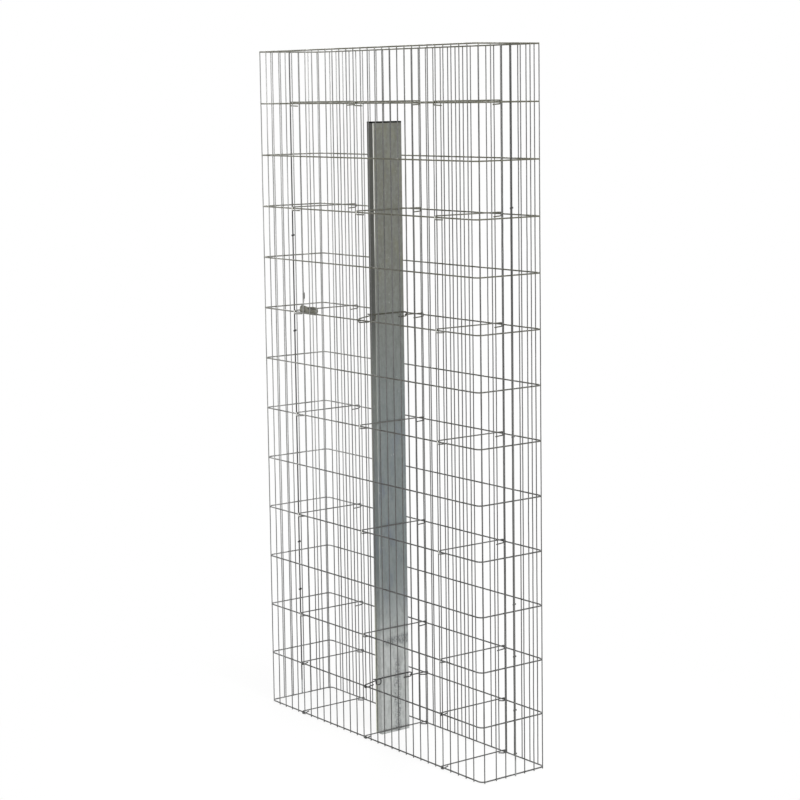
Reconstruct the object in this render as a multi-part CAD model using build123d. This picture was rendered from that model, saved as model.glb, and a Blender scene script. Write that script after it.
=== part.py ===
from build123d import *
import math
import os

# A gabion wall bay: a tall welded-wire basket with wire spacers, two closing rods and a steel post.
# Millimetres. X runs along the wall, Y goes back through its depth, Z is up.
# The origin is on the ground, under the middle of the basket.

# The basket, measured along the middle of its horizontal wires
basket_length = 1007.0
basket_depth = 219.5
corner_radius = 15.0
corner_facets = 2
level_count = 14
level_pitch = 150.0

# Wire gauges
level_wire = 4.0
upright_wire = 3.0
spacer_wire = 3.5
rod_wire = 4.0

# Uprights: one pitch all round; the long sides' first one is set from the left end
upright_pitch = 33.2
first_upright_inset = 46.9
upright_stub = 3.5
end_uprights = (1, 2)

# The seam in the middle of each short end, where the two half baskets meet
seam_y = 3.5
seam_gap = 1.0
rod_clearance = 0.2
rod_handle_length = 26.0

# Spacers: a wire through the depth, hooked round a horizontal wire at each end. Each column stands
# a clear gap beside an upright: to the right of the last one before the middle, or to the left of
# one counted from the ends by how many uprights are further out than the column.
left_column_outer_count = 4
left_column_gap = 7.95
middle_column_gap = 0.75
right_column_outer_count = 5
right_column_gap = 3.95
spacer_levels = (1, 3, 5, 7, 9, 11, 12, 13)
hook_clearance = 0.25
hook_return = 25.0
closed_levels = (12, 13)
closed_hook_flat = 8.75
closed_hook_rise = 3.8

# The post and the two ties that hold it
post_width = 30.0
post_depth = 100.0
post_height = 1750.0
post_wall = 2.0
post_corner_radius = 2.5
post_spacer_gap = 0.5
cap_thickness = 4.5
cap_skirt = 12.0
cap_skirt_wall = 2.0
cap_fit = 0.1
tie_levels = (5, 12)
tie_rise = 12.0
tie_eye = 20.0
tie_eye_gap = 3.0
tie_hook_gap = 7.0
tie_hook_drop = 12.6
tie_hook_return = 28.75
link_return = 33.0

# The pouch of fixings that hangs inside the front long side
pouch_level = 5
pouch_start_inset = 182.0
pouch_thickness = 8.0
pouch_neck_thickness = 2.5
pouch_clearance = 0.1

half_length = basket_length / 2
half_depth = basket_depth / 2
flat_length = basket_length - 2 * corner_radius
hook_rise = level_wire / 2 + hook_clearance + spacer_wire / 2
first_upright_x = first_upright_inset - half_length
upright_room = flat_length / 2 - upright_wire - first_upright_x
upright_count = math.floor(upright_room / upright_pitch) + 1


def column_x(index, side, gap):
    """X of the spacers beside one upright of the long sides: side is -1 to its left, 1 to its right."""
    offset = upright_wire / 2 + gap + spacer_wire / 2
    return first_upright_x + index * upright_pitch + side * offset


spacer_columns = {
    "left": column_x(left_column_outer_count, -1, left_column_gap),
    "middle": column_x(upright_count // 2 - 1, 1, middle_column_gap),
    "right": column_x(upright_count - right_column_outer_count, -1, right_column_gap),
}

# The lowest spacers' hooks stand on the ground
lowest_level = hook_rise + spacer_wire / 2


def level_height(level):
    """Height of a horizontal wire's centre; level 0 is the top one."""
    return lowest_level + (level_count - 1 - level) * level_pitch


basket_top = level_height(0) + level_wire / 2
upright_foot = lowest_level - upright_stub


def block(size_x, size_y, size_z, x, y, z):
    """A square-edged bar or block with its middle at x, y, z."""
    return Pos(x, y, z) * Box(size_x, size_y, size_z)


def fused(pieces):
    """One solid from pieces that touch."""
    return pieces[0].fuse(*pieces[1:])


def upright(x, y, angle):
    """An upright whose inner face lies on the outside of the horizontal wires at x, y."""
    outward = level_wire / 2 + upright_wire / 2
    return (
        Pos(x, y, (basket_top + upright_foot) / 2)
        * Rot(0, 0, angle)
        * Pos(outward, 0, 0)
        * Box(upright_wire, upright_wire, basket_top - upright_foot)
    )


def long_side(side):
    """The flat mesh of one long side: side is -1 for the front and 1 for the back."""
    levels = [
        block(flat_length, level_wire, level_wire, 0, side * half_depth, level_height(level))
        for level in range(level_count)
    ]
    uprights = [
        upright(first_upright_x + index * upright_pitch, side * half_depth, side * 90)
        for index in range(upright_count)
    ]
    return fused(levels + uprights)


def bend_point(end, side, radius, angle):
    """A point on a corner bend; angle 0 is where the short end's straight run stops."""
    x = end * (half_length - corner_radius + radius * math.cos(angle))
    y = side * (half_depth - corner_radius + radius * math.sin(angle))
    return x, y


def return_level(end, side, level):
    """One horizontal wire from the seam to the end of its corner bend, bent in short facets."""
    seam_end = seam_y + side * seam_gap / 2
    turn = math.pi / 2 / corner_facets
    edges = []
    for radius in (corner_radius + level_wire / 2, corner_radius - level_wire / 2):
        bend = [
            bend_point(end, side, radius, step * turn) for step in range(corner_facets + 1)
        ]
        edges.append([(bend[0][0], seam_end)] + bend)
    outer, inner = edges
    outline = make_face(Polyline(*outer, *reversed(inner), close=True))
    return Pos(0, 0, level_height(level)) * extrude(outline, level_wire / 2, both=True)


def corner_upright(end, side):
    """The upright on a bend's first facet, next to the short end."""
    half_turn = math.pi / 4 / corner_facets
    face_radius = (corner_radius + level_wire / 2) * math.cos(half_turn)
    x, y = bend_point(end, side, face_radius - level_wire / 2, half_turn)
    angle = math.degrees(math.atan2(side * math.sin(half_turn), end * math.cos(half_turn)))
    return upright(x, y, angle)


def end_return(end, side):
    """Half of a short end with its corner: end is -1 left, 1 right; side is -1 front, 1 back."""
    levels = [return_level(end, side, level) for level in range(level_count)]
    uprights = [
        upright(end * half_length, seam_y + side * step * upright_pitch, 0 if end > 0 else 180)
        for step in end_uprights
    ]
    return fused(levels + uprights + [corner_upright(end, side)])


def closing_rod(end):
    """The rod outside a seam, with its top bent over along the top wire."""
    outward = level_wire / 2 + rod_clearance + rod_wire / 2
    x = end * (half_length + outward)
    top = level_height(0) + rod_wire / 2
    stem = block(rod_wire, rod_wire, top - upright_foot, x, seam_y, (top + upright_foot) / 2)
    handle_y = seam_y + rod_handle_length / 2
    handle = block(rod_wire, rod_handle_length, rod_wire, x, handle_y, level_height(0))
    return fused([stem, handle])


def bent_wire(x, level, points):
    """A spacer's wire in one plane across the wall; points are its y and its rise from a level."""
    z = level_height(level)
    steps = [(b[0] - a[0], b[1] - a[1]) for a, b in zip(points, points[1:])]
    angles = [math.atan2(rise, run) for run, rise in steps]
    turns = [abs(math.remainder(b - a, math.tau)) for a, b in zip(angles, angles[1:])]
    square_end = spacer_wire / 2
    mitres = [square_end] + [square_end * math.tan(turn / 2) for turn in turns] + [square_end]
    bars = []
    for index, (run, rise) in enumerate(steps):
        before, after = mitres[index], mitres[index + 1]
        length = math.hypot(run, rise)
        bar = Pos(0, (length + after - before) / 2, 0) * Box(
            spacer_wire, length + before + after, spacer_wire
        )
        start_y, start_rise = points[index]
        turn = Rot(math.degrees(angles[index]), 0, 0)
        bars.append(Pos(x, start_y, z + start_rise) * turn * bar)
    return fused(bars)


def hook(side, back, closed=False):
    """A hook's points, from its free end to its bend over the horizontal wire."""
    reach = half_depth + hook_rise
    leg_end = reach - (back - spacer_wire)
    if not closed:
        points = [(leg_end, -hook_rise)]
    else:
        points = [
            (leg_end, closed_hook_rise - hook_rise),
            (reach + spacer_wire / 2 - closed_hook_flat, -hook_rise),
        ]
    points += [(reach, -hook_rise), (reach, hook_rise)]
    return [(side * y, rise) for y, rise in points]


def spacer(x, level):
    """A spacer hooked over the front and back wires, its returns below."""
    closed = level in closed_levels
    front = hook(-1, hook_return, closed)
    back = hook(1, hook_return, closed)
    return bent_wire(x, level, front + back[::-1])


post_face = spacer_columns["middle"] - spacer_wire / 2 - post_spacer_gap
post_x = post_face - post_width / 2


def post():
    """A galvanised rectangular tube, its long side across the wall."""
    outer = RectangleRounded(post_width, post_depth, post_corner_radius)
    inner = Rectangle(post_width - 2 * post_wall, post_depth - 2 * post_wall)
    return Pos(post_x, 0, 0) * extrude(outer - inner, post_height)


def post_cap():
    """The black plastic lid, with a skirt inside the tube."""
    plate = extrude(
        RectangleRounded(post_width, post_depth, post_corner_radius), cap_thickness
    )
    skirt_x = post_width - 2 * (post_wall + cap_fit)
    skirt_y = post_depth - 2 * (post_wall + cap_fit)
    ring = Rectangle(skirt_x, skirt_y) - Rectangle(
        skirt_x - 2 * cap_skirt_wall, skirt_y - 2 * cap_skirt_wall
    )
    skirt = Pos(0, 0, -cap_skirt) * extrude(ring, cap_skirt)
    return Pos(post_x, 0, post_height) * fused([plate, skirt])


eye_middle_y = -(post_depth / 2 + tie_eye_gap + tie_eye / 2)
tie_hook_y = post_depth / 2 + tie_hook_gap


def post_tie(level):
    """A wire along the post's wide face: a closed eye past the front edge, a hook past the back."""
    x = spacer_columns["middle"]
    hook_bottom = tie_rise - tie_hook_drop
    bar = bent_wire(
        x, level,
        [
            (eye_middle_y + tie_eye / 2, tie_rise),
            (tie_hook_y, tie_rise),
            (tie_hook_y, hook_bottom),
            (tie_hook_y - (tie_hook_return - spacer_wire), hook_bottom),
        ],
    )
    hole = tie_eye - 2 * spacer_wire
    eye = Box(spacer_wire, tie_eye, tie_eye) - Box(spacer_wire, hole, hole)
    eye_rise = tie_rise + spacer_wire / 2 - tie_eye / 2
    return fused([bar, Pos(x, eye_middle_y, level_height(level) + eye_rise) * eye])


def tie_link(level, side):
    """The short wire from a tie's eye or hook to the long side's horizontal wire."""
    x = spacer_columns["middle"] + spacer_wire + hook_clearance
    caught_y = -eye_middle_y + tie_eye / 2 - spacer_wire / 2 if side < 0 else tie_hook_y
    catch_y = side * (caught_y - spacer_wire - hook_clearance)
    span = bent_wire(x, level, hook(side, link_return) + [(catch_y, hook_rise)])
    catch_length = 2 * (spacer_wire + hook_clearance)
    catch = block(
        catch_length, spacer_wire, spacer_wire,
        x - catch_length / 2, catch_y, level_height(level) + hook_rise,
    )
    return fused([span, catch])


def fixings_pouch():
    """A soft pouch, flat against the inside of the front wires, with its mouth gathered in a neck."""
    outline = [
        (3, 18), (0, 2), (11, -4.5), (82, -4.5), (92, 6), (90, 19), (68, 20), (40, 18), (15, 23.5),
    ]
    neck = [(15, 10), (22, 10), (31, 42), (31, 60), (24, 60), (24, 42)]
    start_x = pouch_start_inset - half_length
    face_y = level_wire / 2 + pouch_clearance - half_depth
    z = level_height(pouch_level)
    pieces = []
    for points, thickness in ((outline, pouch_thickness), (neck, pouch_neck_thickness)):
        flat = make_face(Polyline(*[(x, rise) for x, rise in points], close=True))
        solid = Rot(90, 0, 0) * extrude(flat, -thickness)
        pieces.append(Pos(start_x, face_y, z) * solid)
    return fused(pieces)


def nodes():
    """Every piece by name."""
    made = {
        "front_mesh": long_side(-1),
        "back_mesh": long_side(1),
        "post": post(),
        "post_cap": post_cap(),
        "fixings_pouch": fixings_pouch(),
    }
    for end_name, end in (("left", -1), ("right", 1)):
        made[f"{end_name}_closing_rod"] = closing_rod(end)
        for side_name, side in (("front", -1), ("back", 1)):
            made[f"{end_name}_{side_name}_return"] = end_return(end, side)
    for column, x in spacer_columns.items():
        for level in spacer_levels:
            if column == "middle" and level in tie_levels:
                made[f"post_tie_{level}"] = post_tie(level)
                made[f"front_link_{level}"] = tie_link(level, -1)
                made[f"back_link_{level}"] = tie_link(level, 1)
            else:
                made[f"{column}_spacer_{level}"] = spacer(x, level)
    return made


os.makedirs("parts", exist_ok=True)
for name, shape in nodes().items():
    export_step(shape, f"parts/{name}.step")
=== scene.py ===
import math

import bmesh
import bpy
from mathutils import Matrix, Vector


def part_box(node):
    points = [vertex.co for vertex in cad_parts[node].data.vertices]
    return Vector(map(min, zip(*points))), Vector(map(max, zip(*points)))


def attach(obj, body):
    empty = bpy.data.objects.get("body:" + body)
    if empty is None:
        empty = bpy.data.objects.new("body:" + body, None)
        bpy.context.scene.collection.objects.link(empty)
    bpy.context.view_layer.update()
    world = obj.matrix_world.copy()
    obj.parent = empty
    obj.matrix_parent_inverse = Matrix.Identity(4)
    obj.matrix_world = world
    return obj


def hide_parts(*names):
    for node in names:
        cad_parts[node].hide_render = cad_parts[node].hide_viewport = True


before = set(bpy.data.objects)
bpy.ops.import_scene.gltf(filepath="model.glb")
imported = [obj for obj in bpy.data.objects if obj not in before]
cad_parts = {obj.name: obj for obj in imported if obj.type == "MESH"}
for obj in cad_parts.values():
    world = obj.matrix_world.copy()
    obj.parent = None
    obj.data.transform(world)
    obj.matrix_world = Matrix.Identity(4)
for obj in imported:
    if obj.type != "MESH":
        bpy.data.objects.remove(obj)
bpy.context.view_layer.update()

# A gabion wall bay: a tall basket of welded, galvanised wire with hooked spacers, two closing rods
# at its seams, a capped steel post and a pouch of fixings. Metres, in the frame's own axes: X runs
# along the wall, Y goes back through its depth and Z is up.

mm = 0.001

# Wires: their gauges, how far an upright may bow between welds and the bend of a closing rod's top
level_wire = 4.0 * mm
upright_wire = 3.0 * mm
spacer_wire = 3.5 * mm
rod_wire = 4.0 * mm
clip_wire = 2.4 * mm
upright_bow = 1.0 * mm
rod_bend = 6.0 * mm

# Welds: the beads' radius, how far crossing wires are pressed together, and how far out from the
# middle of the end wires the beads under a closing rod lie
weld_bead = 1.9 * mm
weld_sink = 0.3 * mm
seam_weld_offset = 1.7 * mm

# The basket
level_count = 14
level_pitch = 150.0 * mm
upright_pitch = 33.2 * mm
first_upright_inset = 46.9 * mm
corner_radius = 15.0 * mm
seam_y = 3.5 * mm
seam_gap = 1.0 * mm
end_uprights = (1, 2)
corner_upright_angle = math.radians(22.5)

front_low, front_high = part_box("front_mesh")
flat_half_length = front_high.x
half_length = flat_half_length + corner_radius
half_depth = level_wire / 2 - front_high.y
basket_foot = front_low.z
basket_top = front_high.z
first_upright_x = first_upright_inset - half_length
upright_count = math.floor((flat_half_length - upright_wire - first_upright_x) / upright_pitch) + 1

# Hooks and ties: rises and drops are from the middle of the horizontal wire
hook_rise = 4.0 * mm
hook_return = 25.0 * mm
link_return = 33.0 * mm
closed_levels = (12, 13)
closed_hook_flat = 8.75 * mm
closed_hook_rise = 3.8 * mm
open_hook_sag = 2.0 * mm
open_tip_sag = 3.5 * mm
open_tip_extra = 3.0 * mm
tie_levels = (5, 12)
tie_rise = 12.0 * mm
tie_eye = 20.0 * mm
tie_curl_reach = 11.0 * mm
tie_hook_drop = 0.6 * mm
tie_hook_back = 27.0 * mm
spacer_bend = 1.1 * hook_rise
link_bend = 0.9 * hook_rise
tie_bend = 6.3 * mm

# Clips wrapped round the closing rods, in two turns: the level below each, and how far it is
# above that level
clip_slack = 0.8 * mm
clip_slope = 0.3 * mm
clip_tip_slope = 0.8 * mm
left_clips = ((4, 59 * mm), (6, 72 * mm), (10, 25 * mm), (11, 27 * mm))
right_clips = (
    (3, 26 * mm), (7, 23 * mm), (10, 20 * mm), (11, 27 * mm), (12, 29 * mm), (13, 58 * mm),
)


def level_height(level):
    """Height of a horizontal wire's middle. Level 0 is the top one."""
    return basket_top - level_wire / 2 - level * level_pitch


lowest_level = level_height(level_count - 1)
next_level = (0, 0, level_pitch)


# Shader expressions


class Value:
    """A socket's value in a material, on which Python's operators add Math nodes."""

    def __init__(self, finish, socket):
        self.finish = finish
        self.socket = socket

    def _with(self, operation, *others):
        return self.finish.node("ShaderNodeMath", {"operation": operation}, *others)

    def __add__(self, other):
        return self._with("ADD", self, other)

    __radd__ = __add__

    def __sub__(self, other):
        return self._with("SUBTRACT", self, other)

    def __rsub__(self, other):
        return self._with("SUBTRACT", other, self)

    def __mul__(self, other):
        return self._with("MULTIPLY", self, other)

    __rmul__ = __mul__

    def __abs__(self):
        return self._with("ABSOLUTE", self)


class Finish:
    """A material being built, with the nodes its parts share."""

    def __init__(self, name):
        self.material = bpy.data.materials.new(name)
        self.material.use_nodes = True
        self.tree = self.material.node_tree
        self.tree.nodes.clear()
        self.output = self.tree.nodes.new("ShaderNodeOutputMaterial")

    def node(self, kind, settings=None, *values, out=0, **named):
        """A new node's output. Settings come first, then its inputs by place or by name."""
        made = self.tree.nodes.new(kind)
        for setting, choice in (settings or {}).items():
            setattr(made, setting, choice)
        for place, value in enumerate(values):
            self._feed(made.inputs[place], value)
        for name, value in named.items():
            self._feed(made.inputs[name.replace("_", " ")], value)
        return Value(self, made.outputs[out])

    def _feed(self, socket, value):
        if isinstance(value, Value):
            self.tree.links.new(value.socket, socket)
        else:
            socket.default_value = value

    def place(self, stretch=(1.0, 1.0, 1.0)):
        """The point on the object, stretched for patterns that run along one axis."""
        point = self.node("ShaderNodeTexCoord", out="Object")
        return self.node("ShaderNodeMapping", None, Vector=point, Scale=stretch)

    def along(self, axis):
        """The point's own X, Y or Z in metres."""
        return self.node("ShaderNodeSeparateXYZ", None, self.place(), out=axis)

    def noise(self, size, detail=2.0, stretch=(1.0, 1.0, 1.0), roughness=0.5):
        """Noise from 0 to 1 whose blotches are about size metres across."""
        return self.node(
            "ShaderNodeTexNoise", None, Vector=self.place(stretch), Scale=1 / size,
            Detail=detail, Roughness=roughness,
        )

    def band(self, value, low, high):
        """0 at low, 1 at high and a smooth step between them."""
        return self.node(
            "ShaderNodeMapRange", {"interpolation_type": "SMOOTHSTEP"}, value, low, high
        )

    def mix(self, share, first, second):
        """A colour between two colours."""
        made = self.tree.nodes.new("ShaderNodeMix")
        made.data_type = "RGBA"
        for place, value in ((0, share), (6, first), (7, second)):
            self._feed(made.inputs[place], value)
        return Value(self, made.outputs[2])

    def bump(self, height, distance, strength=1.0):
        return self.node(
            "ShaderNodeBump", None, Height=height, Distance=distance, Strength=strength
        )

    def surface(self, **sockets):
        """Ends the material in one Principled shader."""
        return self.ended(self.node("ShaderNodeBsdfPrincipled", None, **sockets))

    def ended(self, shader):
        self.tree.links.new(shader.socket, self.output.inputs["Surface"])
        return self.material


def rgb(red, green, blue):
    return (red, green, blue, 1.0)


# Finishes

below_ground = -1.0


def galvanised_wire(
    name, pale, dark, olive_reach, floor_reflection_top=below_ground, right_foot=0.0, front_hook_highlight=0.0
):
    """Drawn, galvanised wire: painted shade darkens it towards the right and low down, a painted
    reflection of the floor makes it pale up to a given height, and it is olive close to a level.

    right_foot is how pale it gets low at the right end, and the last argument is how strong the
    painted highlight on the front hooks is.
    """
    finish = Finish(name)
    x, height = finish.along("X"), finish.along("Z")
    # Painted shade: darker towards the right end and lower down, as if lit from the left.
    painted_falloff = finish.band(x + 0.3 * finish.band(height, 0.9, 0.3), -0.65, 0.15)
    patches = finish.band(finish.noise(40 * mm, 3.0, (1, 1, 0.12), 0.6), 0.42, 0.6)
    freckles = finish.band(finish.noise(2.2 * mm, 3.0), 0.5, 0.72)
    grain = finish.noise(0.7 * mm, 4.0, roughness=0.65)
    colour = finish.mix(painted_falloff, rgb(pale, pale, pale * 0.99), rgb(dark, dark, dark * 0.98))
    colour = finish.mix(patches * 0.45, colour, rgb(dark * 0.5, dark * 0.5, dark * 0.47))
    off_level = finish.node(
        "ShaderNodeMath", {"operation": "PINGPONG"}, height - lowest_level, level_pitch / 2
    )
    olive = finish.band(height, 0.5, 1.8) * finish.band(off_level, 1.5 * olive_reach, olive_reach)
    colour = finish.mix(olive * 0.6, colour, rgb(0.16, 0.155, 0.1))
    # Painted reflection of the floor: pale up to the given height.
    painted_floor_reflection = finish.band(height, floor_reflection_top, floor_reflection_top - 10 * mm)
    colour = finish.mix(painted_floor_reflection, colour, rgb(0.4, 0.42, 0.42))
    foot = finish.band(height, 1.35, 0.95) * finish.band(x, 0.0, 0.4) * right_foot
    colour = finish.mix(foot, colour, rgb(0.25, 0.25, 0.24))
    y = finish.along("Y")
    # Painted highlight: pale on the outer bends of the hooks in front of the wall.
    bends = finish.band(y, -half_depth - 1 * mm, -half_depth - 4 * mm) * front_hook_highlight
    bends = bends * finish.band(height, 0.25, 0.35) * finish.band(height, 1.75, 1.65)
    colour = finish.mix(bends, colour, rgb(0.9, 0.9, 0.85))
    colour = finish.mix(freckles * 0.3, colour, rgb(pale, pale, pale))
    return finish.surface(
        Base_Color=colour,
        Metallic=0.75,
        Roughness=0.36 + patches * 0.16 + grain * 0.08,
        Normal=finish.bump(grain + freckles * 0.4, 0.08 * mm, 0.7),
    )


def galvanised_post():
    """Galvanised tube: dull olive at the top and blue-grey lower, lighter downward with a painted
    reflection of the floor that is palest near the foot.
    """
    finish = Finish("post_zinc_finish")
    low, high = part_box("post")
    x, y, height = finish.along("X"), finish.along("Y"), finish.along("Z")
    crystals = finish.node(
        "ShaderNodeTexVoronoi", {"feature": "F1"}, Vector=finish.place((1.0, 1.0, 0.6)),
        Scale=1 / (6 * mm), out="Color",
    )
    crystal = finish.node("ShaderNodeSeparateColor", None, crystals)
    streaks = finish.noise(7 * mm, 3.0, (1.0, 1.0, 0.02), 0.6)
    clouds = finish.noise(95 * mm, 4.0, (1.0, 1.0, 0.5), 0.6)
    mottle = finish.noise(9 * mm, 4.0, (1.0, 1.0, 0.7), 0.7)
    edge = 0.2 * (clouds - 0.5)
    # Olive at the top giving way to blue-grey lower: a real change of tone that is also lighter
    # downward, as painted reflection of the floor.
    slate_and_painted_reflection = finish.band(height + edge, 1.5, 0.75)
    # Painted reflection of the floor: pale near the foot.
    painted_floor_reflection = finish.band(height + 0.9 * edge + 0.05 * (mottle - 0.5), 0.5, 0.17)
    colour = finish.mix(slate_and_painted_reflection, rgb(0.157, 0.16, 0.134), rgb(0.2, 0.23, 0.232))
    patches = finish.band(finish.noise(30 * mm, 2.0, (1.0, 1.0, 0.4)), 0.5, 0.68)
    colour = finish.mix(patches * slate_and_painted_reflection * 0.55, colour, rgb(0.15, 0.175, 0.22))
    colour = finish.mix(patches * (1 - slate_and_painted_reflection) * 0.5, colour, rgb(0.185, 0.185, 0.125))
    colour = finish.mix(painted_floor_reflection, colour, rgb(0.55, 0.57, 0.56))
    tone = finish.band(0.4 * streaks + 0.4 * mottle + 0.2 * crystal, 0.38, 0.62)
    colour = finish.mix(0.26 * tone, colour, rgb(0.31, 0.33, 0.32))
    grime = finish.band(finish.noise(12 * mm, 5.0, (1.0, 1.0, 0.25), 0.7), 0.45, 0.7)
    colour = finish.mix(grime * 0.3, colour, rgb(0.105, 0.11, 0.105))

    # Rubbed marks low on the wide face: a smudge across it over a strip of dark speckles
    smudge_height = 271 * mm
    speckles = finish.band(finish.noise(2.8 * mm, 4.0, (1.0, 1.0, 0.6), 0.8), 0.47, 0.55)
    ragged = 0.02 * (mottle - 0.5)
    wide_face = finish.band(x, high.x - 3 * mm, high.x - 1 * mm)
    strip = finish.band(y + ragged, -5 * mm, 1 * mm) * finish.band(y + ragged, 22 * mm, 15 * mm)
    strip = strip * wide_face * finish.band(height + ragged, 0.24, 0.2)
    off_smudge = abs(height - smudge_height + 0.8 * ragged)
    smudge = finish.band(off_smudge - 0.08 * y, 17 * mm, 6 * mm)
    smudge = smudge * finish.band(y, -42 * mm, -24 * mm) * wide_face
    colour = finish.mix(smudge * (0.25 + 0.65 * speckles), colour, rgb(0.115, 0.125, 0.13))
    colour = finish.mix(speckles * strip * 0.8, colour, rgb(0.11, 0.115, 0.125))

    # The narrow front face: painted shade darkens it at the top, and painted reflection of the
    # floor gives a pale strip lower down and a pale far edge at the foot
    narrow = finish.band(y, low.y + 2.2 * mm, low.y + 0.8 * mm)
    # Painted shade at the top of the narrow face.
    shade = narrow * finish.band(height, 0.95, 1.3)
    colour = finish.mix(shade * 0.62, colour, rgb(0.05, 0.05, 0.045))
    far_side = finish.band(x + 0.15 * ragged, low.x + 13 * mm, low.x + 7 * mm)
    # Painted reflection: a pale strip down the far side of the narrow face.
    painted_streak_reflection = narrow * (0.3 + 0.7 * far_side) * finish.band(height + edge, 1.25, 1.0)
    painted_streak_reflection = painted_streak_reflection * finish.band(height + edge, 0.6, 0.75)
    colour = finish.mix(painted_streak_reflection * 0.6, colour, rgb(0.42, 0.43, 0.36))
    # Painted reflection of the floor: a pale far edge at the foot.
    painted_edge_reflection = narrow * finish.band(x, low.x + 15 * mm, low.x + 9 * mm)
    painted_edge_reflection = painted_edge_reflection * finish.band(height + edge, 0.5, 0.3)
    colour = finish.mix(painted_edge_reflection * 0.85, colour, rgb(0.7, 0.72, 0.58))

    # The near corner carries a painted highlight, strongest towards the top, and the tube has pale
    # specks
    corner = finish.band(x, high.x - 2.4 * mm, high.x - 1.2 * mm)
    corner = corner * finish.band(y, low.y + 2.6 * mm, low.y + 1.3 * mm)
    painted_corner_highlight = corner * (0.22 + 0.7 * finish.band(height, 1.34, 1.48)) * finish.band(height, 0.3, 0.5)
    colour = finish.mix(painted_corner_highlight, colour, rgb(0.75, 0.75, 0.71))
    specks = finish.band(finish.noise(4 * mm, 1.0, (1.0, 1.0, 0.45)), 0.76, 0.8)
    colour = finish.mix(specks * 0.8, colour, rgb(0.55, 0.56, 0.52))
    return finish.surface(
        Base_Color=colour,
        Metallic=0.35,
        Roughness=0.4 + 0.2 * clouds + 0.1 * crystal,
        Normal=finish.bump(crystal * 0.4 + streaks + mottle * 0.5, 0.12 * mm, 0.6),
    )


def cap_plastic():
    """Black moulded plastic with a fine eroded grain and a little dust."""
    finish = Finish("cap_plastic_finish")
    grain = finish.noise(0.8 * mm, 3.0)
    dust = finish.band(finish.noise(14 * mm, 4.0), 0.5, 0.85)
    return finish.surface(
        Base_Color=finish.mix(dust * 0.4, rgb(0.003, 0.003, 0.003), rgb(0.01, 0.01, 0.009)),
        Roughness=0.55 + grain * 0.2,
        Specular_IOR_Level=0.06,
        Normal=finish.bump(grain, 0.05 * mm, 0.6),
    )


def pouch_film():
    """Creased plastic film, greyed by the metal inside, with painted highlights on its creases, a
    deep crease across it darkened with painted shadow, and a clear, knotted neck.
    """
    finish = Finish("pouch_film_finish")
    low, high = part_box("fixings_pouch")
    x, height = finish.along("X"), finish.along("Z")
    creases = finish.noise(7 * mm, 4.0, (1.0, 1.0, 2.2), 0.65)
    lumps = finish.band(finish.noise(15 * mm, 2.0), 0.35, 0.65)
    colour = finish.mix(lumps, rgb(0.2, 0.198, 0.155), rgb(0.36, 0.36, 0.3))
    # Painted highlights: pale on the ridges of the creases.
    colour = finish.mix(finish.band(creases, 0.52, 0.7) * 0.7, colour, rgb(0.62, 0.61, 0.54))
    # A deep crease across the pouch, darkened with painted shadow; the same mask dents the surface.
    fold_and_painted_shadow = finish.band(abs(height - (low.z + 18.5 * mm)), 3.2 * mm, 1.2 * mm)
    fold_and_painted_shadow = fold_and_painted_shadow * finish.band(x, low.x + 38 * mm, low.x + 48 * mm)
    fold_and_painted_shadow = fold_and_painted_shadow * finish.band(x, low.x + 88 * mm, low.x + 80 * mm)
    colour = finish.mix(fold_and_painted_shadow * 0.85, colour, rgb(0.05, 0.05, 0.042))
    clear = finish.band(height, low.z + 27 * mm, low.z + 30 * mm)
    colour = finish.mix(clear, colour, rgb(0.74, 0.74, 0.7))
    knot = finish.band(height + 0.3 * mm * lumps, low.z + 43 * mm, low.z + 47 * mm)
    colour = finish.mix(knot, colour, rgb(0.22, 0.22, 0.2))
    return finish.surface(
        Base_Color=colour,
        Roughness=0.35 + creases * 0.2,
        Normal=finish.bump(creases - fold_and_painted_shadow * 0.6, 1.2 * mm, 0.8),
    )


mesh_zinc = galvanised_wire("mesh_wire_finish", 0.44, 0.12, 2.2 * mm)
spacer_zinc = galvanised_wire("spacer_wire_finish", 0.3, 0.13, 20 * mm, front_hook_highlight=0.6)
tie_zinc = galvanised_wire("tie_wire_finish", 0.09, 0.06, 20 * mm)
rod_zinc = galvanised_wire("rod_wire_finish", 0.11, 0.06, 1 * mm, 52 * mm, right_foot=0.6)


# Geometry Nodes trees


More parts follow.
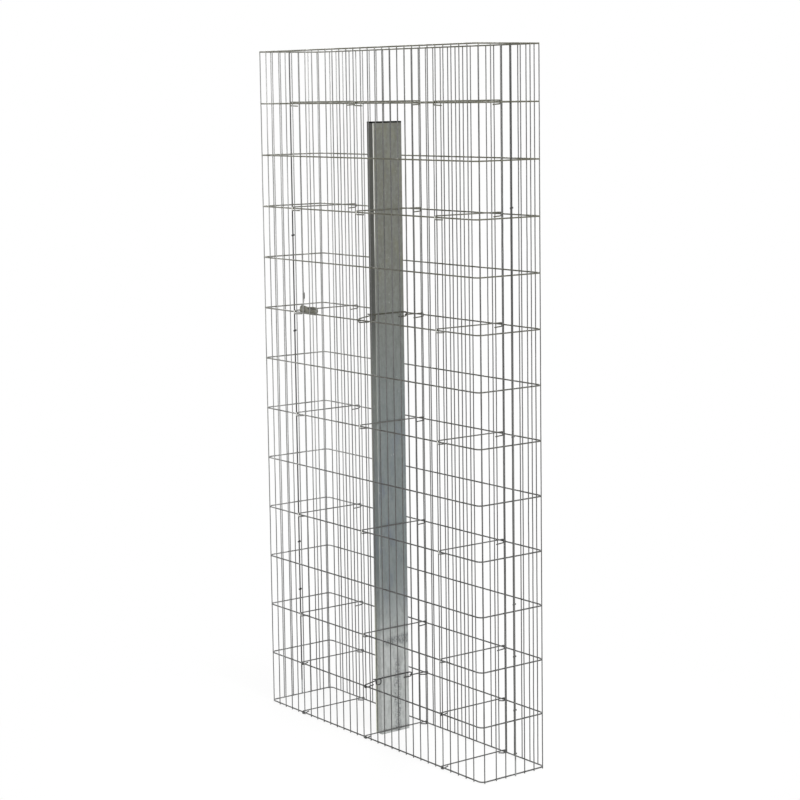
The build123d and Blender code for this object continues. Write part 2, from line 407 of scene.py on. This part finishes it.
class Tree:
    """A Geometry Nodes tree with named inputs, built node by node."""

    def __init__(self, name, **inputs):
        self.tree = bpy.data.node_groups.new(name, "GeometryNodeTree")
        sockets = {"Geometry": "Geometry", **inputs, "Material": "Material"}
        self.keys = {}
        for label, kind in sockets.items():
            socket = self.tree.interface.new_socket(
                label.replace("_", " "), in_out="INPUT", socket_type="NodeSocket" + kind
            )
            self.keys[label] = socket.identifier
        self.tree.interface.new_socket(
            "Geometry", in_out="OUTPUT", socket_type="NodeSocketGeometry"
        )
        self.given = self.tree.nodes.new("NodeGroupInput").outputs
        self.result = self.tree.nodes.new("NodeGroupOutput").inputs[0]

    def node(self, kind, settings=None, *values, out=0, **named):
        """A new node's output socket; settings first, then its inputs by place or by name."""
        made = self.tree.nodes.new(kind)
        for setting, choice in (settings or {}).items():
            setattr(made, setting, choice)
        for place, value in enumerate(values):
            self._feed(made.inputs[place], value)
        for name, value in named.items():
            self._feed(made.inputs[name.replace("_", " ")], value)
        return made.outputs[out]

    def _feed(self, socket, value):
        if isinstance(value, bpy.types.NodeSocket):
            self.tree.links.new(value, socket)
        else:
            socket.default_value = value

    def number(self, operation, *values):
        return self.node("ShaderNodeMath", {"operation": operation}, *values)

    def vector(self, operation, *values, **named):
        return self.node("ShaderNodeVectorMath", {"operation": operation}, *values, **named)

    def section(self):
        """The round section of the wire."""
        return self.node(
            "GeometryNodeCurvePrimitiveCircle", Resolution=self.given["Sides"],
            Radius=self.number("MULTIPLY", self.given["Wire"], 0.5),
        )

    def finish(self, geometry):
        """Real meshes with smooth shading and their material, as the last steps."""
        real = self.node("GeometryNodeRealizeInstances", Geometry=geometry)
        smooth = self.node("GeometryNodeSetShadeSmooth", Geometry=real, Shade_Smooth=True)
        material = self.given["Material"]
        done = self.node("GeometryNodeSetMaterial", Geometry=smooth, Material=material)
        self.tree.links.new(done, self.result)

    def made_from(self, mesh, **inputs):
        """The plain mesh that the tree makes from a base mesh."""
        holder = bpy.data.objects.new("holder", mesh)
        bpy.context.scene.collection.objects.link(holder)
        modifier = holder.modifiers.new("build", "NODES")
        modifier.node_group = self.tree
        for label, value in inputs.items():
            modifier[self.keys[label]] = value
        bpy.context.view_layer.update()
        graph = bpy.context.evaluated_depsgraph_get()
        result = bpy.data.meshes.new_from_object(holder.evaluated_get(graph))
        holder.modifiers.remove(modifier)
        bpy.data.objects.remove(holder)
        return result


def bent_wire_tree():
    """Turns the piece's edges into round wire with rounded bends, and repeats it up the basket."""
    tree = Tree(
        "bent_wire", Wire="Float", Sides="Int", Bend_radius="Float", Bend_steps="Int",
        Copies="Int", Copy_step="Vector",
    )
    path = tree.node("GeometryNodeMeshToCurve", Mesh=tree.given["Geometry"])
    rounded = tree.node(
        "GeometryNodeFilletCurve", {"mode": "POLY"}, Curve=path,
        Radius=tree.given["Bend radius"], Limit_Radius=True, Count=tree.given["Bend steps"],
    )
    wire = tree.node(
        "GeometryNodeCurveToMesh", Curve=rounded, Profile_Curve=tree.section(), Fill_Caps=True
    )
    places = tree.node(
        "GeometryNodeMeshLine", Count=tree.given["Copies"], Offset=tree.given["Copy step"]
    )
    tree.finish(tree.node("GeometryNodeInstanceOnPoints", Points=places, Instance=wire))
    return tree


def upright_tree():
    """Stands a round wire on each point of the piece, bowed a little between its welds."""
    tree = Tree(
        "uprights", Wire="Float", Sides="Int", Height="Float", Rings="Int", First_weld="Float",
        Weld_pitch="Float", Bow="Float",
    )
    top = tree.node("ShaderNodeCombineXYZ", Z=tree.given["Height"])
    line = tree.node("GeometryNodeCurvePrimitiveLine", End=top)
    rings = tree.node("GeometryNodeResampleCurve", Curve=line, Count=tree.given["Rings"])
    wire = tree.node(
        "GeometryNodeCurveToMesh", Curve=rings, Profile_Curve=tree.section(), Fill_Caps=True
    )
    stood = tree.node(
        "GeometryNodeInstanceOnPoints", Points=tree.given["Geometry"], Instance=wire
    )
    stood = tree.node("GeometryNodeRealizeInstances", Geometry=stood)
    point = tree.node("GeometryNodeInputPosition")
    height = tree.node("ShaderNodeSeparateXYZ", Vector=point, out="Z")
    above_weld = tree.number("SUBTRACT", height, tree.given["First weld"])
    pitches = tree.number("DIVIDE", above_weld, tree.given["Weld pitch"])
    half_waves = tree.number("MULTIPLY", pitches, math.pi)
    free = tree.number("ABSOLUTE", tree.number("SINE", half_waves))
    noise = tree.node(
        "ShaderNodeTexNoise", Vector=point, Scale=1 / (45 * mm), Detail=0.0, out="Color"
    )
    push = tree.vector("MULTIPLY", tree.vector("SUBTRACT", noise, (0.5, 0.5, 0.5)), (1, 1, 0))
    amount = tree.number("MULTIPLY", tree.given["Bow"], free)
    tree.finish(
        tree.node(
            "GeometryNodeSetPosition", Geometry=stood,
            Offset=tree.vector("SCALE", push, Scale=amount),
        )
    )
    return tree


def weld_tree():
    """Puts a flattened, slightly uneven bead on each crossing point of the piece."""
    tree = Tree("welds", Bead="Float", Least="Vector", Most="Vector", Seed="Int")
    bead = tree.node("GeometryNodeMeshUVSphere", Segments=8, Rings=5, Radius=tree.given["Bead"])
    size = tree.node(
        "FunctionNodeRandomValue", {"data_type": "FLOAT_VECTOR"}, tree.given["Least"],
        tree.given["Most"], Seed=tree.given["Seed"],
    )
    tree.finish(
        tree.node(
            "GeometryNodeInstanceOnPoints", Points=tree.given["Geometry"], Instance=bead,
            Scale=size,
        )
    )
    return tree


wire_tree = bent_wire_tree()
stand_tree = upright_tree()
bead_tree = weld_tree()


def base_mesh(points, joined):
    """Points on their own, or joined in a path."""
    mesh = bpy.data.meshes.new("base")
    edges = [(index, index + 1) for index in range(len(points) - 1)] if joined else []
    mesh.from_pydata([tuple(point) for point in points], edges, [])
    return mesh


def bent_wire(points, wire, bend, steps=6, sides=12, copies=1):
    """Round wire along straight runs with rounded bends, repeated up the levels."""
    return wire_tree.made_from(
        base_mesh(points, True), Wire=wire, Sides=sides, Bend_radius=bend, Bend_steps=steps,
        Copies=copies, Copy_step=next_level,
    )


def uprights(feet):
    return stand_tree.made_from(
        base_mesh(feet, False), Wire=upright_wire, Sides=10, Height=basket_top - basket_foot,
        Rings=4 * (level_count - 1) + 1, First_weld=lowest_level, Weld_pitch=level_pitch,
        Bow=upright_bow,
    )


def welds(crossings, seed):
    return bead_tree.made_from(
        base_mesh(crossings, False), Bead=weld_bead, Least=(0.85, 0.85, 0.8),
        Most=(1.15, 1.15, 1.0), Seed=seed,
    )


def finished(name, slot, node, finish, *meshes):
    """One piece from its meshes, riding with the wall and standing for its CAD node."""
    joined = bmesh.new()
    for mesh in meshes:
        joined.from_mesh(mesh)
    for face in joined.faces:
        face.material_index = 0
    body = bpy.data.meshes.new(name)
    joined.to_mesh(body)
    joined.free()
    body.materials.append(finish)
    piece = bpy.data.objects.new(name, body)
    bpy.context.scene.collection.objects.link(piece)
    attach(piece, "root")
    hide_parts(node)


# The mesh

upright_offset = level_wire / 2 + upright_wire / 2 - weld_sink
contact_offset = level_wire / 2 - weld_sink / 2


def at_levels(points):
    """Each point on every horizontal wire."""
    return [
        Vector((point[0], point[1], level_height(level)))
        for point in points
        for level in range(level_count)
    ]


def long_side(name, side, seed):
    """A flat long side: horizontal wires, uprights outside them and the welds between."""
    y = side * half_depth
    run = [(-flat_half_length, y, lowest_level), (flat_half_length, y, lowest_level)]
    xs = [first_upright_x + index * upright_pitch for index in range(upright_count)]
    feet = [(x, y + side * upright_offset, basket_foot) for x in xs]
    touches = [(x, y + side * contact_offset) for x in xs]
    finished(
        f"{name}_wires", "mesh_wire", name, mesh_zinc,
        bent_wire(run, level_wire, 0.0, copies=level_count), uprights(feet),
        welds(at_levels(touches), seed),
    )


def end_return(name, end, side, seed):
    """Half of a short end: its horizontal wires run from the seam round the corner."""
    outer_x = end * half_length
    run = [
        (outer_x, seam_y + side * seam_gap / 2, lowest_level),
        (outer_x, side * half_depth, lowest_level),
        (end * flat_half_length, side * half_depth, lowest_level),
    ]
    middle = Vector((end * flat_half_length, side * (half_depth - corner_radius), basket_foot))
    outward = Vector(
        (end * math.cos(corner_upright_angle), side * math.sin(corner_upright_angle), 0)
    )
    feet = [middle + outward * (corner_radius + upright_offset)]
    touches = [middle + outward * (corner_radius + contact_offset)]
    for step in end_uprights:
        y = seam_y + side * step * upright_pitch
        feet.append(Vector((outer_x + end * upright_offset, y, basket_foot)))
        touches.append(Vector((outer_x + end * contact_offset, y, 0)))
    finished(
        f"{name}_wires", "mesh_wire", name, mesh_zinc,
        bent_wire(run, level_wire, corner_radius, steps=8, copies=level_count), uprights(feet),
        welds(at_levels(touches), seed),
    )


long_side("front_mesh", -1, 3)
long_side("back_mesh", 1, 5)
for end_name, end in (("left", -1), ("right", 1)):
    for side_name, side in (("front", -1), ("back", 1)):
        end_return(f"{end_name}_{side_name}_return", end, side, 7 + 2 * end + side)


# Closing rods


def rod_clip(x, end, z):
    """A short wire bent round a rod from the inside."""
    flank = (rod_wire + clip_wire) / 2 + clip_slack
    tip_x = x + end * (rod_wire - clip_wire) / 2
    inner_x = x - end * flank
    return bent_wire(
        [
            (tip_x, seam_y - flank, z - clip_tip_slope),
            (inner_x, seam_y - flank, z - clip_slope),
            (inner_x, seam_y + flank, z + clip_slope),
            (tip_x, seam_y + flank, z + clip_tip_slope),
        ],
        clip_wire, flank, sides=8,
    )


def closing_rod(name, end, clips):
    """The rod down a seam, its top bent over along the top wire, with its welds and clips."""
    low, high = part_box(name)
    x = end * (max(abs(low.x), abs(high.x)) - rod_wire / 2)
    path = [
        (x, seam_y, low.z),
        (x, seam_y, high.z - rod_wire / 2),
        (x, high.y, high.z - rod_wire / 2),
    ]
    seams = at_levels([(end * (half_length + seam_weld_offset), seam_y)])
    wraps = [
        rod_clip(x, end, level_height(level) + above + half * clip_wire / 2)
        for level, above in clips
        for half in (-1, 1)
    ]
    finished(
        f"{name}_wire", "rod_wire", name, rod_zinc, bent_wire(path, rod_wire, rod_bend),
        welds(seams, 11 + end), *wraps,
    )


closing_rod("left_closing_rod", -1, left_clips)
closing_rod("right_closing_rod", 1, right_clips)


# Spacers, ties and links


def hook(side, back, closed=False):
    """A hook's points as y and rise, from its free end to its bend over the horizontal wire."""
    reach = half_depth + hook_rise
    leg_end = reach - (back - spacer_wire / 2)
    if closed:
        bottom = -hook_rise
        knee = reach + spacer_wire / 2 - closed_hook_flat
        points = [(leg_end, closed_hook_rise - hook_rise), (knee, bottom)]
    else:
        bottom = -hook_rise - open_hook_sag
        points = [(leg_end - open_tip_extra, -hook_rise - open_tip_sag)]
    points += [(reach, bottom), (reach, hook_rise)]
    return [(side * y, rise) for y, rise in points]


def across_wall(name, points, bend, finish):
    """A bent wire that runs through the wall's depth, in place of a CAD node."""
    finished(f"{name}_wire", "spacer_wire", name, finish, bent_wire(points, spacer_wire, bend))


def spacer(name, level):
    """A wire through the basket, its ends hooked down round the horizontal wires."""
    low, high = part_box(name)
    x = (low.x + high.x) / 2
    closed = level in closed_levels
    outline = hook(-1, hook_return, closed) + hook(1, hook_return, closed)[::-1]
    z = level_height(level)
    across_wall(name, [(x, y, z + rise) for y, rise in outline], spacer_bend, spacer_zinc)


def post_tie(name, level):
    """The wire along the post's wide face: a curled eye at the front, a hook at the back."""
    low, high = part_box(name)
    x = (low.x + high.x) / 2
    z = level_height(level)
    eye = tie_eye - spacer_wire
    bottom = tie_rise - eye
    front = low.y + spacer_wire / 2
    back = high.y - spacer_wire / 2
    side_step = spacer_wire * 0.5
    outline = [
        (x + 2 * side_step, front - tie_curl_reach, tie_rise + 3 * mm),
        (x + 2 * side_step, front + 0.4 * eye, tie_rise),
        (x + 1.6 * side_step, front + eye, tie_rise - 1 * mm),
        (x + side_step, front + eye, bottom),
        (x + 0.5 * side_step, front, bottom),
        (x, front, tie_rise),
        (x, back, tie_rise),
        (x, back, -tie_hook_drop),
        (x, back - tie_hook_back, -tie_hook_drop),
    ]
    across_wall(name, [(px, y, z + rise) for px, y, rise in outline], tie_bend, tie_zinc)


def tie_link(name, level, side):
    """The short wire from a tie out to the horizontal wire, hooked at both ends."""
    low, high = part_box(name)
    x = high.x - spacer_wire / 2
    z = level_height(level)
    caught = (high.y if side < 0 else low.y) + side * spacer_wire / 2
    caught_z = z + (2.8 * hook_rise if side < 0 else hook_rise)
    outline = [(x, y, z + rise) for y, rise in hook(side, link_return, level in closed_levels)]
    outline += [(x, caught, caught_z), (low.x + spacer_wire / 2, caught, caught_z)]
    across_wall(name, outline, link_bend, tie_zinc)


for name in sorted(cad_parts):
    if "_spacer_" in name:
        spacer(name, int(name.split("_")[-1]))
for level in tie_levels:
    post_tie(f"post_tie_{level}", level)
    tie_link(f"front_link_{level}", level, -1)
    tie_link(f"back_link_{level}", level, 1)


# Post, cap and pouch


def ringed(name, rings, closed):
    """A smooth mesh over rings of points, each joined to the next, with its ends capped if open."""
    count = len(rings[0])
    faces = []
    pairs = len(rings) if closed else len(rings) - 1
    for index in range(pairs):
        here, there = index * count, (index + 1) % len(rings) * count
        for step in range(count):
            after = (step + 1) % count
            faces.append((here + step, here + after, there + after, there + step))
    if not closed:
        last = (len(rings) - 1) * count
        faces.append(tuple(reversed(range(count))))
        faces.append(tuple(range(last, last + count)))
    mesh = bpy.data.meshes.new(name)
    mesh.from_pydata([tuple(point) for ring in rings for point in ring], [], faces)
    for face in mesh.polygons:
        face.use_smooth = True
    mesh.set_sharp_from_angle(angle=math.radians(35))
    return mesh


def rounded_rectangle(low, high, inset, radius, z, steps=8):
    """A ring of points round a box's plan, pulled in by inset."""
    radius = max(radius - inset, 0.3 * mm)
    ring = []
    for quarter, (corner_x, corner_y) in enumerate(
        ((high.x, high.y), (low.x, high.y), (low.x, low.y), (high.x, low.y))
    ):
        sign_x = 1 if corner_x == high.x else -1
        sign_y = 1 if corner_y == high.y else -1
        middle_x = corner_x - sign_x * (inset + radius)
        middle_y = corner_y - sign_y * (inset + radius)
        for step in range(steps + 1):
            angle = (quarter + step / steps) * math.pi / 2
            x = middle_x + radius * math.cos(angle)
            ring.append((x, middle_y + radius * math.sin(angle), z))
    return ring


def lofted(name, sections, steps=16):
    """A closed soft shape over ellipses, each given by its middle and two half axes."""
    rings = []
    for middle, across, up in sections:
        turns = [math.tau * step / steps for step in range(steps)]
        rings.append([middle + across * math.cos(turn) + up * math.sin(turn) for turn in turns])
    return ringed(name, rings, False)


post_radius = 2.5 * mm
post_wall = 2.0 * mm
post_low, post_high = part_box("post")
tube_rings = [
    rounded_rectangle(post_low, post_high, inset, post_radius, z)
    for inset, z in (
        (0, post_low.z), (0, post_high.z), (post_wall, post_high.z), (post_wall, post_low.z)
    )
]
tube = ringed("post_tube", tube_rings, True)
finished("post_tube", "post_zinc", "post", galvanised_post(), tube)

cap_low, cap_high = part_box("post_cap")
skirt_outer = 2.1 * mm
skirt_inner = 4.1 * mm
cap_bevel = 0.8 * mm
cap_rings = [
    rounded_rectangle(cap_low, cap_high, inset, post_radius, z)
    for inset, z in (
        (skirt_inner, post_high.z),
        (skirt_inner, cap_low.z),
        (skirt_outer, cap_low.z),
        (skirt_outer, post_high.z),
        (0, post_high.z),
        (0, cap_high.z - cap_bevel),
        (cap_bevel, cap_high.z),
    )
]
lid = ringed("post_lid", cap_rings, False)
finished("post_lid", "cap_plastic", "post_cap", cap_plastic(), lid)


def fixings_pouch(name):
    """A soft, lumpy pouch behind the front wires, its mouth gathered into a neck."""
    low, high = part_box(name)
    floor_z = low.z + 4.5 * mm
    # Along the pouch in millimetres: place, underside, upper side and half thickness
    body = [
        (0.6, 1, 8, 0.8), (3, -0.4, 17, 2.4), (12, -4.3, 22.8, 3.7), (25, -4.4, 20, 3.9),
        (40, -4.2, 17.8, 3.4), (54, -4.4, 18.4, 3.9), (68, -4.4, 19.8, 3.5),
        (81, -4.4, 19.2, 3.8), (88, 1, 18.6, 2.8), (91.2, 6, 13, 1.0),
    ]
    middle_y = (low.y + high.y) / 2
    sections = [
        (
            Vector((low.x + x * mm, middle_y, floor_z + (bottom + top) / 2 * mm)),
            Vector((0, thick * mm, 0)),
            Vector((0, 0, (top - bottom) / 2 * mm)),
        )
        for x, bottom, top, thick in body
    ]
    # Up the neck in millimetres: height, place, half width and half thickness
    neck = [
        (12, 18.5, 3.6, 1.1), (24, 22.0, 3.1, 0.8), (33, 24.6, 2.6, 0.7), (38, 26.2, 2.4, 0.7),
        (44, 27.5, 3.3, 1.1), (52, 27.5, 3.5, 1.2), (57, 27.5, 3.0, 1.0), (59.6, 27.4, 1.6, 0.6),
    ]
    strip = [
        (
            Vector((low.x + x * mm, low.y + 1.3 * mm, floor_z + z * mm)),
            Vector((wide * mm, 0, 0)),
            Vector((0, thick * mm, 0)),
        )
        for z, x, wide, thick in neck
    ]
    finished(
        "fixings_pouch_film", "pouch_film", name, pouch_film(), lofted("body", sections),
        lofted("neck", strip),
    )


fixings_pouch("fixings_pouch")


# The studio

world = bpy.data.worlds.new("studio")
bpy.context.scene.world = world
world.use_nodes = True
nodes, links = world.node_tree.nodes, world.node_tree.links
nodes.clear()
output = nodes.new("ShaderNodeOutputWorld")
white = nodes.new("ShaderNodeBackground")
white.inputs["Color"].default_value = (1, 1, 1, 1)
room = nodes.new("ShaderNodeBackground")
room.inputs["Color"].default_value = (0.5, 0.5, 0.49, 1)
room.inputs["Strength"].default_value = 0.62
rays = nodes.new("ShaderNodeLightPath")
reflected = nodes.new("ShaderNodeMath")
reflected.operation = "MAXIMUM"
seen = nodes.new("ShaderNodeMath")
seen.operation = "MAXIMUM"
mixed = nodes.new("ShaderNodeMixShader")
links.new(rays.outputs["Is Glossy Ray"], reflected.inputs[0])
links.new(rays.outputs["Is Transmission Ray"], reflected.inputs[1])
links.new(rays.outputs["Is Camera Ray"], seen.inputs[0])
links.new(reflected.outputs[0], seen.inputs[1])
links.new(seen.outputs[0], mixed.inputs[0])
links.new(room.outputs[0], mixed.inputs[1])
links.new(white.outputs[0], mixed.inputs[2])
links.new(mixed.outputs[0], output.inputs["Surface"])


def softbox(name, place, aim, size, power):
    """A rectangular light aimed at a point, which the camera doesn't see."""
    light = bpy.data.lights.new(name, "AREA")
    light.shape = "RECTANGLE"
    light.size, light.size_y = size
    light.energy = power
    lamp = bpy.data.objects.new(name, light)
    bpy.context.scene.collection.objects.link(lamp)
    lamp.location = place
    lamp.rotation_euler = (Vector(aim) - Vector(place)).to_track_quat("-Z", "Y").to_euler()
    lamp.visible_camera = False


softbox("key_light", (5.0, -0.6, 3.0), (0, 0, 1.0), (2.4, 2.4), 210)
softbox("front_light", (1.4, -5.2, 3.2), (0, 0, 1.0), (2.0, 2.0), 60)
softbox("back_light", (-4.0, 2.8, 3.4), (0, 0, 1.0), (2.4, 2.0), 110)


def paper_floor():
    """Pale paper that lights the wall, but shows as plain white with a soft share of shadow."""
    paper = Finish("floor_paper")
    seen = paper.node("ShaderNodeLightPath", out="Is Camera Ray")
    seen = seen + paper.node("ShaderNodeLightPath", out="Is Glossy Ray")
    seen = seen + paper.node("ShaderNodeLightPath", out="Is Transmission Ray")
    x, y = paper.along("X"), paper.along("Y")
    near = paper.band(x * x + y * y, 1.4, 0.3)
    white = paper.mix(near, rgb(1, 1, 1), rgb(0.88, 0.88, 0.88))
    white = paper.node("ShaderNodeEmission", None, Color=white)
    shadowed = paper.node("ShaderNodeBsdfDiffuse", None, Color=rgb(0.16, 0.16, 0.16))
    none = paper.node("ShaderNodeEmission", None, Color=rgb(0, 0, 0), Strength=0.0)
    shadowed = paper.node("ShaderNodeMixShader", None, near, none, shadowed)
    shown = paper.node("ShaderNodeAddShader", None, white, shadowed)
    lit = paper.node("ShaderNodeBsdfDiffuse", None, Color=rgb(0.86, 0.86, 0.86))
    return paper.ended(paper.node("ShaderNodeMixShader", None, seen, lit, shown))


floor_radius = 2.1
floor_drop = 0.5 * mm
floor_steps = 96
floor_mesh = bpy.data.meshes.new("floor")
turns = [math.tau * step / floor_steps for step in range(floor_steps)]
floor_mesh.from_pydata(
    [(floor_radius * math.cos(turn), floor_radius * math.sin(turn), -floor_drop) for turn in turns],
    [], [list(range(floor_steps))],
)
floor_mesh.materials.append(paper_floor())
floor = bpy.data.objects.new("floor", floor_mesh)
bpy.context.scene.collection.objects.link(floor)

# The photo's camera. Its angles are in degrees: the heading from the Y axis towards X, the tilt
# down and the roll.
camera_place = (4.6996, -3.5249, 1.8375)
camera_angles = (-53.012, 7.565, 0.8)

camera_data = bpy.data.cameras.new("camera")
camera_data.sensor_width = 36.0
camera_data.lens = 94.55
camera_data.shift_y = -0.0375
camera_data.clip_end = 100.0
camera = bpy.data.objects.new("camera", camera_data)
bpy.context.scene.collection.objects.link(camera)
heading, tilt, roll = (math.radians(angle) for angle in camera_angles)
forward = Vector(
    (math.sin(heading) * math.cos(tilt), math.cos(heading) * math.cos(tilt), -math.sin(tilt))
)
level_right = Vector((math.cos(heading), -math.sin(heading), 0))
level_down = forward.cross(level_right)
right = math.cos(roll) * level_right + math.sin(roll) * level_down
down = math.cos(roll) * level_down - math.sin(roll) * level_right
facing = Matrix((right, -down, -forward)).transposed().to_4x4()
camera.matrix_world = Matrix.Translation(camera_place) @ facing
bpy.context.scene.camera = camera

bpy.context.scene.view_settings.view_transform = "Standard"
